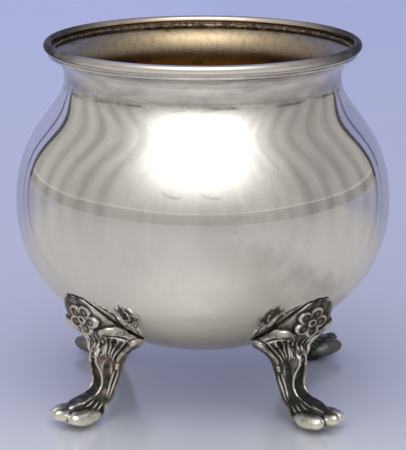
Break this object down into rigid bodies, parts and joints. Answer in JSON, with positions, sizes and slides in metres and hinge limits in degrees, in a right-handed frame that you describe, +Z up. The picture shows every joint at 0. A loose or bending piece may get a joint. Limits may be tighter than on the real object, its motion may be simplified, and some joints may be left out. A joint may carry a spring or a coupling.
{
  "type": "waste bowl",
  "caption": "Round-bellied footed bowl with a waisted neck, flared lip, wire bead round the mouth and cast cabriole feet with flowers, leaves and paws.",
  "frame": {"origin": "centre of the footprint, on the table that the paws rest on", "axes": "+Z up along the axis of the bowl; the feet stand between the X and Y axes, and -Y is the side that faces the viewer"},
  "size_m": [0.111, 0.111, 0.108],
  "materials": {
    "silver": "polished silver plate outside, gilt and tarnished inside",
    "rim_silver": "polished silver plate, lightly tarnished",
    "cast_silver": "cast and silver plated, darkened in the recesses"
  },
  "bodies": {
    "root": {"bowl_body": "silver", "rim_wire": "rim_silver", "foot_front_left": "cast_silver", "foot_front_right": "cast_silver", "foot_back_left": "cast_silver", "foot_back_right": "cast_silver"}
  },
  "joints": []
}
